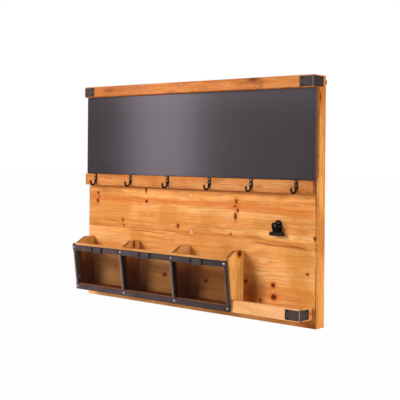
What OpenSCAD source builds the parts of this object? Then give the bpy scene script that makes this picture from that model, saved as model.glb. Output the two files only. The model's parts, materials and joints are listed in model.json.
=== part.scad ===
// Knotty pine wall organiser: blackboard, hook rail, letter box with a mesh front, ledge and clip.
// Millimetres. +Z is up and the front faces -Y.
// The origin is the centre of the middle batten's back face, which lies against the wall.

/* [Back board] */
// Width of the back board
board_w = 800; // [700:10:1000]
// Height of the back board
board_h = 600; // [540:10:800]
// Thickness of the back planks
plank_t = 10; // [9.5:0.5:20]
// Height of the lower plank
lower_plank_h = 200; // [180:10:230]
// Height of the middle plank
middle_plank_h = 200; // [150:10:230]
// Depth of the battens behind the planks
batten_t = 26; // [18:1:30]
// Width of the two side battens
side_batten_w = 18; // [16:1:30]
// Width of the middle batten
middle_batten_w = 40; // [30:1:80]
// Chamfer along the edges of the rails, laths and battens
edge_ease = 0.8; // [0.4:0.1:1.5]

/* [Blackboard and rails] */
// Thickness of the blackboard
blackboard_t = 8; // [4:0.5:10]
// How far the blackboard stands past each side of the planks
blackboard_over = 1.5; // [0:0.5:3]
// Height of the top rail
top_rail_h = 30; // [28:1:40]
// Thickness of the top rail
top_rail_t = 19; // [16:1:25]
// Height of the hook rail
hook_rail_h = 31.5; // [30:0.5:40]
// Thickness of the hook rail
hook_rail_t = 15.5; // [14:0.5:20]
// Distance from the top of the board down to the top of the hook rail
hook_rail_drop = 250; // [200:5:280]

/* [Steel corner straps] */
// Height of a strap
strap_h = 24.4; // [18:0.2:26]
// Thickness of a strap
strap_t = 1.5; // [1:0.1:2]
// Radius outside the bend of a strap
strap_bend_r = 2.5; // [2:0.1:4]
// Length of a top strap along the front
top_strap_front = 39; // [30:1:60]
// Length of a top strap along the side
top_strap_side = 43.5; // [34:1:48]
// Length of the ledge strap along the front
ledge_strap_front = 42.5; // [30:1:60]
// Length of the ledge strap along the side
ledge_strap_side = 38; // [28:1:45]
// Distance between the two nails at one end of a strap
strap_nail_gap = 16.6; // [12:0.2:17]
// Distance from the front end of a strap to its nails
strap_nail_inset = 8; // [4.5:0.5:10]
// Distance from the back end of a strap to its nails
strap_side_inset = 4.5; // [4:0.5:6]

/* [Fasteners] */
// Radius of a strap nail's head
nail_head_r = 2.6; // [2:0.1:3]
// Radius of the round-headed nails of the letter box
rivet_head_r = 4; // [3:0.1:4.5]
// Radius of a hook screw's head
hook_screw_head_r = 2.2; // [2:0.1:2.8]
// Radius of the clip screw's head
clip_screw_head_r = 3.8; // [3:0.1:4.5]
// Radius of a hanger screw's head
hanger_screw_head_r = 3.2; // [2.5:0.1:3.6]
// Radius of a label pin's head
pin_head_r = 1.3; // [1:0.1:1.6]
// Radius of every shank
shank_r = 1; // [0.8:0.1:1.2]
// Clearance between a shank and its hole
shank_clear = 0.05; // [0.02:0.01:0.1]
// Depth that a shank reaches into wood
shank_bite = 8; // [5:0.5:9]

/* [Hooks] */
// Distance from the left end of the rail to the first hook
hook_left_margin = 45; // [30:1:60]
// Spacing of the three hooks on the left
hook_left_pitch = 142.5; // [100:0.5:150]
// Distance from the right end of the rail to the last hook
hook_right_margin = 47.5; // [30:0.5:60]
// Spacing of the three hooks on the right
hook_right_pitch = 137; // [100:0.5:150]
// Thickness of a hook's back plate
hook_plate_t = 2; // [1.5:0.1:3]
// Radius of the plate's upper lobe
hook_upper_r = 4.8; // [4.5:0.1:6]
// Radius of the plate's lower lobe
hook_lower_r = 5.3; // [4.8:0.1:7]
// Half the width of the plate between its lobes
hook_waist = 3.8; // [3:0.1:4.4]
// How far the plate's top stands above the rail's top
hook_rise = 2.5; // [2:0.5:8]
// Distance from the rail's top down to the upper screw
hook_screw_drop = 3.2; // [3:0.1:5]
// Distance between a hook's two screws
hook_screw_gap = 9.6; // [8:0.1:12]
// Radius of the hook's rod
hook_rod_r = 2.5; // [1.4:0.1:2.8]
// Radius of the hook's curl at the middle of the rod
hook_curl_r = 9; // [7:0.5:12]
// Distance from the rail's top down to the centre of the curl
hook_curl_drop = 21.4; // [20:0.2:26]
// Length of the tip past the curl
hook_tip_l = 1; // [0.6:0.2:6]
// Radius of the ball at the tip
hook_tip_r = 2.8; // [2.6:0.1:3.2]

/* [Letter box] */
// Distance from the left edge of the board to the box
box_inset = 12; // [0:1:40]
// Height of the box's underside above the lower edge of the board
box_lift = 22.5; // [10:0.5:40]
// Width of the left bay
left_bay_w = 175; // [150:1:185]
// Width of the middle bay
middle_bay_w = 177; // [150:1:185]
// Width of the right bay
right_bay_w = 169.5; // [150:0.5:185]
// Thickness of the sides and dividers
upright_t = 12; // [11:0.5:16]
// Height of the sides' flat top above the box's underside
upright_h = 147; // [140:0.5:170]
// Length of the sides' flat top
upright_flat = 32; // [20:1:40]
// Thickness of the bottom boards
bottom_t = 12; // [9:0.5:15]
// Depth of the sides at the box's underside
depth_low = 43; // [40:1:60]
// Depth of the sides at the top of the front
depth_high = 60.5; // [56:0.5:80]
// Height of the front above the box's underside
front_h = 131; // [115:0.5:138]

/* [Front of the box] */
// Thickness of the wooden laths
lath_t = 10; // [8:0.5:12]
// Height of the steel strips
strip_h = 16; // [14:0.5:20]
// Thickness of the steel strips and posts
strip_t = 1.2; // [0.8:0.1:1.6]
// Height of lath that shows above the top strip
lath_show = 3.5; // [2:0.5:8]
// Width of a folded steel post
post_w = 9; // [8.5:0.5:14]
// How far the steel stands past each side of the box
front_over = 1.6; // [1.5:0.1:3]
// Depth of the outer folded side of an end post
end_leg = 4; // [3:0.5:6]
// How far the mesh lies behind the face of the steel
mesh_back = 6; // [5:0.5:8]
// Depth that the mesh reaches into its grooves
mesh_bite = 4; // [2:0.5:5]
// Sideways distance from a post's middle to its nails
rivet_shift = 2.5; // [0:0.5:3]
// Gaps of the mesh across one bay
mesh_columns = 13; // [8:1:13]
// Gaps of the mesh from bottom to top
mesh_rows = 9; // [6:1:9]
// Width of one wire of the mesh
mesh_wire_w = 1.4; // [1:0.1:2]
// Clearance round the folded and loose parts of the front
fit_gap = 0.3; // [0.2:0.05:0.5]

/* [Label holders] */
// Width of a label holder between its ears
label_w = 42; // [30:1:60]
// Height of a label holder
label_h = 16.5; // [14:0.5:20]
// How far the holder hangs below the strip
label_drop = 1.8; // [0:0.2:3]
// Length of each ear
label_ear = 5; // [4.5:0.5:9]
// Sheet thickness of a holder
label_sheet = 0.6; // [0.5:0.1:0.8]
// Space for the card in a holder
label_slot = 1; // [0.6:0.1:1.5]
// Width of the folded edge over the card
label_fold = 4; // [2:0.5:5]

/* [Ledge] */
// Distance from the right edge of the board to the ledge's end
ledge_inset = 11; // [0:1:40]
// Height of the ledge's rail
ledge_h = 29.5; // [27:0.5:40]
// How far the ledge's rail and end hang below the box's underside
ledge_drop = 1.5; // [0:0.5:4]
// Thickness of the ledge's rail and end board
ledge_t = 13; // [10:0.5:16]
// Depth of the ledge to the front of its rail
ledge_depth = 50; // [44:1:54]

/* [Clip] */
// Distance from the right edge of the board to the middle of the clip
clip_inset = 110.5; // [90:0.5:140]
// Height of the clip's pivot above the lower edge of the board
clip_lift = 233; // [225:1:280]
// Half the width of the clip's jaws
clip_jaw_half = 20.5; // [16:0.5:22]
// Half the width of the clip's handles
clip_handle_half = 10.7; // [9.5:0.1:11]
// Radius of the corners of the clip's jaws
clip_jaw_r = 3; // [1:0.5:4]
// Sheet thickness of the clip
clip_t = 1.1; // [0.8:0.1:1.3]
// Distance from the planks to the pivot
clip_pivot_out = 7.5; // [7:0.1:9]
// Height of the back handle above the pivot
clip_back_up = 19; // [18:0.5:22]
// Height of the front handle above the pivot
clip_front_up = 13.5; // [12:0.5:16]
// How far the front handle's end stands past the pivot
clip_front_out = 10.5; // [9:0.5:13]
// Distance from the pivot down to the line where the jaws meet
clip_jaw_drop = 11; // [9:0.5:13]
// Distance from that line down to the end of the lips
clip_lip_drop = 8; // [6:0.5:10]
// How far each lip turns away from the other
clip_lip_out = 4.3; // [3:0.1:5]
// Space between the jaws at rest
clip_jaw_gap = 0.2; // [0.1:0.05:0.4]
// Radius of the clip's pin
clip_pin_r = 1; // [0.8:0.1:1.2]
// Radius of the hole in the front handle
clip_hole_r = 3; // [2:0.1:4]

/* [Hangers] */
// Distance from the top of the board down to the ring's axis
hanger_drop = 12; // [10:1:40]
// Radius of the ring's wire
ring_wire_r = 1.4; // [1.2:0.1:1.6]
// Radius of the ring's bow at the middle of the wire
ring_bow_r = 7; // [6:0.1:7.2]
// Length of the ring's straight sides
ring_side_l = 5; // [2:0.5:6]
// Clearance between the ring and its barrel
ring_clear = 0.1; // [0.05:0.01:0.15]
// Clearance between the hangers and the wall
wall_clear = 1.6; // [0.5:0.1:3]
// Sheet thickness of a hanger
hanger_t = 1.5; // [1.2:0.1:1.8]
// Width of a hanger at its screw
hanger_w = 13; // [11:0.5:15]
// Width of a hanger's barrel
barrel_w = 8; // [6:0.5:9]
// Distance from the ring's axis down to the hanger's screw
hanger_screw_drop = 20; // [19:0.5:25]

/* [Hidden] */
$fn = 48;

// A little more than nothing, for cuts that run past a face
past = 1;

// Heights and depths of the back board
base_z = -board_h / 2;
top_z = board_h / 2;
side_x = board_w / 2;
barrel_bore_r = ring_wire_r + ring_clear;
barrel_r = barrel_bore_r + hanger_t;
ring_out = barrel_r + 0.4;
side_back_y = -(ring_out + barrel_r + wall_clear);
plank_back_y = side_back_y - batten_t;
front_y = plank_back_y - plank_t;
upper_plank_h = board_h - lower_plank_h - middle_plank_h;
hook_rail_top = top_z - hook_rail_drop;
hook_rail_bottom = hook_rail_top - hook_rail_h;
hook_rail_y = front_y - hook_rail_t;
rail_gap = 0.4;

// Straps
top_rail_y = front_y - top_rail_t;
top_strap_z = top_z - top_rail_h / 2;
hole_r = shank_r + shank_clear;

// Hooks, numbered from the left
hook_x = concat(
    [for (i = [0:2]) -side_x + hook_left_margin + i * hook_left_pitch],
    [for (i = [2:-1:0]) side_x - hook_right_margin - i * hook_right_pitch]
);
hook_stem_l = hook_curl_drop - hook_screw_drop - hook_screw_gap - hook_screw_head_r - 0.6;
hook_screw_z = [hook_rail_top - hook_screw_drop, hook_rail_top - hook_screw_drop - hook_screw_gap];

// Letter box: left faces of the uprights, and the slope of its front
box_x = -side_x + box_inset;
box_z = base_z + box_lift;
upright_x = [
    box_x,
    box_x + upright_t + left_bay_w,
    box_x + 2 * upright_t + left_bay_w + middle_bay_w,
    box_x + 3 * upright_t + left_bay_w + middle_bay_w + right_bay_w
];
bay_w = [left_bay_w, middle_bay_w, right_bay_w];
box_right = upright_x[3] + upright_t;
box_w = box_right - box_x;
front_slant = atan((depth_high - depth_low) / front_h);
front_l = front_h / cos(front_slant);
strip_top_low = front_l - lath_show - strip_h;
front_x = box_x - front_over;
front_w = box_w + 2 * front_over;
post_x = [
    front_x,
    upright_x[1] + (upright_t - post_w) / 2,
    upright_x[2] + (upright_t - post_w) / 2,
    front_x + front_w - post_w
];
rivet_x = [for (i = [0:3]) post_x[i] + post_w / 2 + rivet_shift * (i < 3 ? 1 : -1)];
rivet_h = [strip_h / 2, strip_top_low + strip_h / 2];
strip_face = lath_t + 2 * strip_t;

// Mesh: first edge and width of each panel, and the two faces of its sheet
mesh_x = [for (i = [0:2]) post_x[i] + post_w / 2 + fit_gap];
mesh_w = [for (i = [0:2]) post_x[i + 1] - post_x[i] - 2 * fit_gap];
mesh_front = -strip_face + mesh_back;
mesh_t = 1.2;

// Label holders
label_x = [for (i = [0:2]) upright_x[i] + upright_t + bay_w[i] / 2];
label_low = strip_top_low - label_drop;
label_pin_x = label_w / 2 + label_ear / 2;
label_pin_h = strip_top_low + strip_h / 2;

// Ledge
ledge_right = side_x - ledge_inset;
ledge_back_depth = ledge_depth - ledge_t;
ledge_z = box_z - ledge_drop;
ledge_strap_z = ledge_z + ledge_h / 2;

// Clip
clip_x = side_x - clip_inset;
clip_z = base_z + clip_lift;
clip_sheet_back = clip_t / 2;
clip_jaw_back = clip_pivot_out - clip_jaw_gap / 2 - clip_t / 2;
clip_jaw_front = clip_pivot_out + clip_jaw_gap / 2 + clip_t / 2;
clip_ear_r = 3;
clip_ear_gap = 0.3;
clip_jaw_rise = 1;
clip_foot = 2;
clip_back_ear_x = clip_handle_half + clip_ear_gap;
clip_screw_up = clip_back_up - clip_handle_half + 2;
clip_hole_up = clip_front_up - clip_handle_half + 3.5;
spring_wire_r = 0.6;
spring_bore_r = clip_pin_r + 0.25;
spring_pitch = 1.15;
spring_turns = 5;
spring_leg_l = 8;

// Hangers
hanger_x = side_x - side_batten_w / 2;
hanger_z = top_z - hanger_drop;

// Colours
pine = [0.84, 0.52, 0.24];
pine_side = [0.86, 0.50, 0.20];
steel = [0.30, 0.25, 0.24];
strap_steel = [0.27, 0.20, 0.18];
black_iron = [0.09, 0.08, 0.08];
bright = [0.72, 0.72, 0.74];
slate = [0.30, 0.27, 0.28];
wire = [0.22, 0.19, 0.18];

function unit(v) = v / norm(v);
function left_of(v) = [-v[1], v[0]];

// Point i of a folded line, moved sideways by d so that both legs stay parallel
function mitre(p, i, d) =
    let (last = len(p) - 1,
         a = unit(i > 0 ? p[i] - p[i - 1] : p[1] - p[0]),
         b = unit(i < last ? p[i + 1] - p[i] : p[last] - p[last - 1]),
         m = unit(left_of(a) + left_of(b)))
    p[i] + m * d / (m * left_of(a));

// Outline of a sheet of thickness t folded along the line p
function folded(p, t) = concat(
    [for (i = [0:len(p) - 1]) mitre(p, i, t / 2)],
    [for (i = [len(p) - 1:-1:0]) mitre(p, i, -t / 2)]
);

// Rectangle with its corners cut by e
module eased(w, h, e) {
    polygon([[e, 0], [w - e, 0], [w, e], [w, h - e], [w - e, h], [e, h], [0, h - e], [0, e]]);
}

// Rectangle with round corners of radius r
module rounded(w, h, r) {
    translate([r, 0])
        square([w - 2 * r, h]);
    translate([0, r])
        square([w, h - 2 * r]);
    for (x = [r, w - r])
        for (z = [r, h - r])
            translate([x, z])
                circle(r);
}

// Bar along X, eased along its long edges
module bar_x(l, t, h) {
    rotate([90, 0, 90])
        linear_extrude(l)
            eased(t, h, edge_ease);
}

// Bar along Z, eased along its long edges
module bar_z(w, t, l) {
    linear_extrude(l)
        eased(w, t, edge_ease);
}

// Turns a drawing of depth and height into a solid along X
module along_x(l) {
    rotate([90, 0, 90])
        linear_extrude(l)
            children();
}

// Points a screw or nail into the front: its head at the origin, its shank along +Y
module domed_nail(head_r, head_t, l) {
    rotate([90, 0, 0])
        union() {
            intersection() {
                translate([0, 0, head_t - dome_r(head_r, head_t)])
                    sphere(dome_r(head_r, head_t));
                cylinder(r = head_r + past, h = head_t + past);
            }
            translate([0, 0, -l])
                cylinder(r = shank_r, h = l + 0.2);
        }
}

// Radius of the ball that gives a dome of base radius r and height h
function dome_r(r, h) = (r * r + h * h) / (2 * h);

module shank_hole_y(l) {
    rotate([-90, 0, 0])
        translate([0, 0, -past])
            cylinder(r = hole_r, h = l + past);
}

// Places on the sloping front: X stays, height runs up the slope, -Y points out
module on_front() {
    translate([0, front_y - depth_low, box_z])
        rotate([front_slant, 0, 0])
            children();
}

// Back board

module plank(z, h) {
    color(pine)
        difference() {
            translate([-side_x, front_y, z])
                cube([board_w, plank_t, h]);
            strap_side_holes();
            translate([clip_x, front_y, clip_z + clip_screw_up])
                shank_hole_y(shank_bite + 0.5);
        }
}

module plank_lower() {
    plank(base_z, lower_plank_h);
}

module plank_middle() {
    plank(base_z + lower_plank_h, middle_plank_h);
}

module plank_upper() {
    plank(top_z - upper_plank_h, upper_plank_h);
}

module side_batten(x) {
    color(pine_side)
        difference() {
            translate([x, plank_back_y, base_z])
                bar_z(side_batten_w, batten_t, board_h);
            hanger_holes();
            strap_side_holes();
        }
}

module batten_left() {
    side_batten(-side_x);
}

module batten_right() {
    side_batten(side_x - side_batten_w);
}

module batten_middle() {
    color(pine_side)
        translate([-middle_batten_w / 2, plank_back_y, base_z])
            bar_z(middle_batten_w, -plank_back_y, board_h);
}

module blackboard() {
    color(slate)
        translate([-side_x - blackboard_over, front_y - blackboard_t, hook_rail_top + rail_gap])
            cube([
                board_w + 2 * blackboard_over,
                blackboard_t,
                top_z - top_rail_h - hook_rail_top - 2 * rail_gap
            ]);
}

// Rails

module top_rail() {
    color(pine)
        difference() {
            translate([-side_x, top_rail_y, top_z - top_rail_h])
                bar_x(board_w, top_rail_t, top_rail_h);
            top_strap_front_holes();
        }
}

module hook_rail() {
    color(pine)
        difference() {
            translate([-side_x, hook_rail_y, hook_rail_bottom])
                bar_x(board_w, hook_rail_t, hook_rail_h);
            for (x = hook_x)
                for (z = hook_screw_z)
                    translate([x, hook_rail_y, z])
                        shank_hole_y(shank_bite);
        }
}

// Steel straps

// Strap round a right-hand corner, its inner corner at the origin, legs towards -X and +Y
module corner_strap(front_l, side_l) {
    translate([0, 0, -strap_h / 2])
        linear_extrude(strap_h)
            difference() {
                union() {
                    translate([-front_l + strap_t, -strap_t])
                        square([front_l - strap_bend_r, strap_t]);
                    translate([0, strap_bend_r - strap_t])
                        square([strap_t, side_l - strap_bend_r]);
                    intersection() {
                        translate([strap_t - strap_bend_r, strap_bend_r - strap_t])
                            circle(strap_bend_r);
                        translate([strap_t - strap_bend_r, -strap_t])
                            square(strap_bend_r);
                    }
                }
                translate([-strap_bend_r, 0])
                    square(strap_bend_r);
            }
}

// Nail places on a right-hand strap, each with its shank along +Y, or along -X on the side
module strap_front_places(front_l) {
    for (s = [-1, 1])
        translate([-front_l + strap_t + strap_nail_inset, -strap_t, s * strap_nail_gap / 2])
            children();
}

module strap_side_places(side_l) {
    for (s = [-1, 1])
        translate([strap_t, side_l - strap_t - strap_side_inset, s * strap_nail_gap / 2])
            rotate([0, 0, 90])
                children();
}

module at_top_strap_right() {
    translate([side_x, top_rail_y, top_strap_z])
        children();
}

module at_top_strap_left() {
    mirror([1, 0, 0])
        at_top_strap_right()
            children();
}

module at_ledge_strap() {
    translate([ledge_right, front_y - ledge_depth, ledge_strap_z])
        children();
}

module drilled_strap(front_l, side_l) {
    difference() {
        corner_strap(front_l, side_l);
        strap_front_places(front_l)
            shank_hole_y(strap_t + past);
        strap_side_places(side_l)
            shank_hole_y(strap_t + past);
    }
}

module top_strap_left() {
    color(strap_steel)
        at_top_strap_left()
            drilled_strap(top_strap_front, top_strap_side);
}

module top_strap_right() {
    color(strap_steel)
        at_top_strap_right()
            drilled_strap(top_strap_front, top_strap_side);
}

module ledge_strap() {
    color(strap_steel)
        at_ledge_strap()
            drilled_strap(ledge_strap_front, ledge_strap_side);
}

module top_strap_front_holes() {
    at_top_strap_left()
        strap_front_places(top_strap_front)
            shank_hole_y(strap_t + shank_bite);
    at_top_strap_right()
        strap_front_places(top_strap_front)
            shank_hole_y(strap_t + shank_bite);
}

module strap_side_holes() {
    at_top_strap_left()
        strap_side_places(top_strap_side)
            shank_hole_y(strap_t + shank_bite);
    at_top_strap_right()
        strap_side_places(top_strap_side)
            shank_hole_y(strap_t + shank_bite);
}

module strap_nail() {
    domed_nail(nail_head_r, 1.2, strap_t + shank_bite);
}

module strap_nails() {
    color(black_iron) {
        at_top_strap_left() {
            strap_front_places(top_strap_front)
                strap_nail();
            strap_side_places(top_strap_side)
                strap_nail();
        }
        at_top_strap_right() {
            strap_front_places(top_strap_front)
                strap_nail();
            strap_side_places(top_strap_side)
                strap_nail();
        }
        at_ledge_strap() {
            strap_front_places(ledge_strap_front)
                strap_nail();
            strap_side_places(ledge_strap_side)
                strap_nail();
        }
    }
}

// Hooks

// Outline of a hook's back plate, with the rail's top edge at height 0
module hook_outline() {
    lobe_end = -hook_screw_drop - hook_screw_gap - hook_lower_r / 2;
    translate([0, hook_rise - hook_upper_r])
        circle(hook_upper_r);
    translate([0, -hook_screw_drop - hook_screw_gap])
        circle(hook_lower_r);
    polygon([
        [-hook_upper_r + 0.6, hook_rise - hook_upper_r],
        [hook_upper_r - 0.6, hook_rise - hook_upper_r],
        [hook_waist, -hook_screw_drop - hook_screw_gap / 2],
        [hook_lower_r - 0.7, lobe_end],
        [hook_rod_r + 0.4, -hook_curl_drop],
        [-hook_rod_r - 0.4, -hook_curl_drop],
        [-hook_lower_r + 0.7, lobe_end],
        [-hook_waist, -hook_screw_drop - hook_screw_gap / 2]
    ]);
}

module hook_rod() {
    rod_y = -hook_rod_r - 0.3;
    translate([0, rod_y, -hook_curl_drop])
        cylinder(r = hook_rod_r, h = hook_stem_l);
    translate([0, rod_y - hook_curl_r, -hook_curl_drop])
        rotate([0, 90, 0])
            rotate([0, 0, -90])
                rotate_extrude(angle = 180)
                    translate([hook_curl_r, 0])
                        circle(hook_rod_r);
    translate([0, rod_y - 2 * hook_curl_r, -hook_curl_drop]) {
        cylinder(r = hook_rod_r, h = hook_tip_l);
        translate([0, 0, hook_tip_l])
            sphere(hook_tip_r);
    }
}

module hook(i) {
    color(black_iron)
        translate([hook_x[i], hook_rail_y, hook_rail_top])
            union() {
                difference() {
                    rotate([90, 0, 0])
                        linear_extrude(hook_plate_t)
                            hook_outline();
                    for (z = hook_screw_z)
                        translate([0, -hook_plate_t, z - hook_rail_top])
                            shank_hole_y(hook_plate_t + past);
                }
                hook_rod();
            }
}

module hook_screws() {
    color(bright)
        for (x = hook_x)
            for (z = hook_screw_z)
                translate([x, hook_rail_y - hook_plate_t, z])
                    domed_nail(hook_screw_head_r, 1.6, hook_plate_t + shank_bite - 1);
}

// Letter box

module upright(i) {
    color(pine)
        translate([upright_x[i], front_y, box_z])
            along_x(upright_t)
                polygon([
                    [0, bottom_t],
                    [0, upright_h],
                    [-upright_flat, upright_h],
                    [-depth_high, front_h],
                    [-depth_low - bottom_t * tan(front_slant), bottom_t]
                ]);
}

module box_bottom() {
    color(pine)
        translate([box_x, front_y, box_z])
            along_x(box_w)
                polygon([
                    [0, 0],
                    [0, bottom_t],
                    [-depth_low - bottom_t * tan(front_slant), bottom_t],
                    [-depth_low, 0]
                ]);
}

module front_holes(h) {
    on_front()
        for (x = rivet_x)
            translate([x, -strip_face, h])
                shank_hole_y(strip_face - lath_t + shank_bite);
}

module mesh_groove(low) {
    on_front()
        for (i = [0:2])
            translate([mesh_x[i] - fit_gap / 2, mesh_front - fit_gap / 2, low])
                cube([mesh_w[i] + fit_gap, mesh_t + fit_gap, mesh_bite + fit_gap + past]);
}

module lath_top() {
    color(pine)
        difference() {
            on_front()
                translate([box_x, -lath_t, strip_top_low])
                    bar_x(box_w, lath_t, front_l - strip_top_low);
            front_holes(rivet_h[1]);
            mesh_groove(strip_top_low - past);
        }
}

module lath_bottom() {
    color(pine)
        difference() {
            on_front()
                translate([box_x, -lath_t, 0])
                    bar_x(box_w, lath_t, strip_h);
            front_holes(rivet_h[0]);
            mesh_groove(strip_h - mesh_bite - fit_gap);
        }
}

// Side of a post, folded back from its web
module post_leg(x, low, high, deep) {
    translate([x, -lath_t - strip_t, low])
        cube([strip_t, deep - strip_t, high - low]);
}

// Folded steel post: a web over both laths, and folded sides. The outer side of an end post
// covers the ends of the laths, and the other sides stand between the laths.
module post(i) {
    web_h = i == 0 ? front_l : front_l - lath_show;
    low = strip_h + fit_gap;
    high = strip_top_low - fit_gap;
    far = post_x[i] + post_w - strip_t;
    color(steel)
        difference() {
            on_front() {
                translate([post_x[i], -lath_t - strip_t, 0])
                    cube([post_w, strip_t, web_h]);
                if (i == 0)
                    post_leg(post_x[i], 0, web_h, end_leg);
                else
                    post_leg(post_x[i], low, high, mesh_back);
                if (i == 3)
                    post_leg(far, 0, web_h, end_leg);
                else
                    post_leg(far, low, high, mesh_back);
            }
            front_holes(rivet_h[0]);
            front_holes(rivet_h[1]);
        }
}

module strip(low, hole_h) {
    color(steel)
        difference() {
            on_front()
                translate([front_x, -strip_face, low])
                    cube([front_w, strip_t, strip_h]);
            front_holes(hole_h);
        }
}

module strip_top() {
    difference() {
        strip(strip_top_low, rivet_h[1]);
        label_pin_holes();
    }
}

module strip_bottom() {
    strip(0, rivet_h[0]);
}

module front_nails() {
    color(bright)
        on_front()
            for (x = rivet_x)
                for (h = rivet_h)
                    translate([x, -strip_face, h])
                        domed_nail(rivet_head_r, 2.6, 2 * strip_t + shank_bite - 1);
}

// Mesh of one bay: upright wires behind, level wires before them
module mesh(i) {
    low = strip_h - mesh_bite;
    high = strip_top_low + mesh_bite;
    pitch_x = (mesh_w[i] - mesh_wire_w) / mesh_columns;
    pitch_h = (high - low - mesh_wire_w) / mesh_rows;
    layer = mesh_t * 0.6;
    color(wire)
        on_front()
            translate([mesh_x[i], mesh_front, low])
                union() {
                    for (c = [0:mesh_columns])
                        translate([c * pitch_x, mesh_t - layer, 0])
                            cube([mesh_wire_w, layer, high - low]);
                    for (r = [0:mesh_rows])
                        translate([0, 0, r * pitch_h])
                            cube([mesh_w[i], layer, mesh_wire_w]);
                }
}

// Label holders

// Plate with its sides and lower edge folded over the card, and an ear at each side
module label_holder(i) {
    deep = label_sheet + label_slot;
    color(black_iron)
        on_front()
            translate([label_x[i] - label_w / 2, -strip_face, label_low])
                difference() {
                    union() {
                        translate([0, -deep - label_sheet, 0])
                            cube([label_w, deep + label_sheet, label_h]);
                        translate([-label_ear, -label_sheet, label_drop + 3])
                            cube([label_w + 2 * label_ear, label_sheet, strip_h - 6]);
                    }
                    translate([label_sheet, -deep, label_sheet])
                        cube([label_w - 2 * label_sheet, label_slot, label_h]);
                    translate([label_fold, -deep - label_sheet - past, label_fold])
                        cube([label_w - 2 * label_fold, label_sheet + 2 * past, label_h]);
                    for (s = [-1, 1])
                        translate([label_w / 2 + s * label_pin_x, -label_sheet, label_pin_h - label_low])
                            rotate([-90, 0, 0])
                                translate([0, 0, -past])
                                    cylinder(r = 0.55 + shank_clear, h = 2 * past + label_sheet);
                }
}

module label_pin_places() {
    on_front()
        for (x = label_x)
            for (s = [-1, 1])
                translate([x + s * label_pin_x, -strip_face - label_sheet, label_pin_h])
                    children();
}

module label_pin_holes() {
    label_pin_places()
        rotate([-90, 0, 0])
            translate([0, 0, -past])
                cylinder(r = 0.55 + shank_clear, h = label_sheet + strip_t + 2 * past);
}

module label_pins() {
    color(bright)
        label_pin_places()
            rotate([90, 0, 0])
                union() {
                    cylinder(r = pin_head_r, h = 0.7);
                    translate([0, 0, -label_sheet - strip_t])
                        cylinder(r = 0.55, h = label_sheet + strip_t + 0.2);
                }
}

// Ledge

module ledge_rail() {
    color(pine)
        difference() {
            translate([box_right, front_y - ledge_depth, ledge_z])
                bar_x(ledge_right - box_right, ledge_t, ledge_h);
            at_ledge_strap()
                strap_front_places(ledge_strap_front)
                    shank_hole_y(strap_t + shank_bite);
        }
}

module ledge_end() {
    color(pine)
        difference() {
            translate([ledge_right - ledge_t, front_y - ledge_back_depth, ledge_z])
                cube([ledge_t, ledge_back_depth, ledge_h]);
            at_ledge_strap()
                strap_side_places(ledge_strap_side)
                    shank_hole_y(strap_t + shank_bite);
        }
}

module ledge_bottom() {
    color(pine)
        translate([box_right, front_y - ledge_back_depth, box_z])
            cube([ledge_right - ledge_t - box_right, ledge_back_depth, bottom_t]);
}

// Clip, drawn as depth in front of the planks (to the left) and height above the pivot

module at_clip() {
    translate([clip_x, front_y, clip_z])
        children();
}

// Front view of a plate: rounded handle of height up on a straight neck, with wide jaws below
module clip_outline(up, neck) {
    jaw_low = -clip_jaw_drop - clip_lip_drop - clip_t / 4;
    jaw_high = -clip_jaw_drop + clip_jaw_rise;
    translate([0, up - clip_handle_half])
        circle(clip_handle_half);
    polygon([
        [-clip_handle_half, up - clip_handle_half],
        [clip_handle_half, up - clip_handle_half],
        [neck, clip_ear_r],
        [neck, jaw_high + clip_foot],
        [neck + clip_foot, jaw_high - past],
        [-neck - clip_foot, jaw_high - past],
        [-neck, jaw_high + clip_foot],
        [-neck, clip_ear_r]
    ]);
    translate([-clip_jaw_half, jaw_low])
        rounded(2 * clip_jaw_half, jaw_high - jaw_low, clip_jaw_r);
}

module clip_sheet(profile, up, neck) {
    intersection() {
        translate([-clip_jaw_half - past, 0, 0])
            along_x(2 * (clip_jaw_half + past))
                polygon(folded(profile, clip_t));
        rotate([90, 0, 0])
            linear_extrude(40)
                clip_outline(up, neck);
    }
}

// Pair of ears round the pivot, each from depth "from" to the pivot
module clip_ears(inner_x, from, to) {
    for (s = [0, 1])
        mirror([s, 0, 0])
            translate([inner_x, 0, 0])
                along_x(clip_t)
                    union() {
                        translate([-clip_pivot_out, 0])
                            circle(clip_ear_r);
                        translate([min(-from, -to), -clip_ear_r])
                            square([abs(to - from), 2 * clip_ear_r]);
                    }
}

module pin_bore() {
    translate([-30, -clip_pivot_out, 0])
        rotate([0, 90, 0])
            cylinder(r = clip_pin_r + shank_clear, h = 60);
}

module clip_back_plate() {
    bend_up = 4;
    profile = [
        [-clip_sheet_back, clip_back_up],
        [-clip_sheet_back, bend_up],
        [-clip_jaw_back, -clip_jaw_drop],
        [-clip_jaw_back + clip_lip_out, -clip_jaw_drop - clip_lip_drop]
    ];
    color(black_iron)
        at_clip()
            difference() {
                union() {
                    clip_sheet(profile, clip_back_up, clip_back_ear_x + clip_t);
                    intersection() {
                        clip_ears(clip_back_ear_x, 0.4, clip_pivot_out);
                        translate([-30, -30, -clip_ear_r])
                            cube([60, 30, 2 * clip_ear_r]);
                    }
                }
                pin_bore();
                translate([0, -clip_t, clip_screw_up])
                    shank_hole_y(clip_t + past);
            }
}

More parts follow.
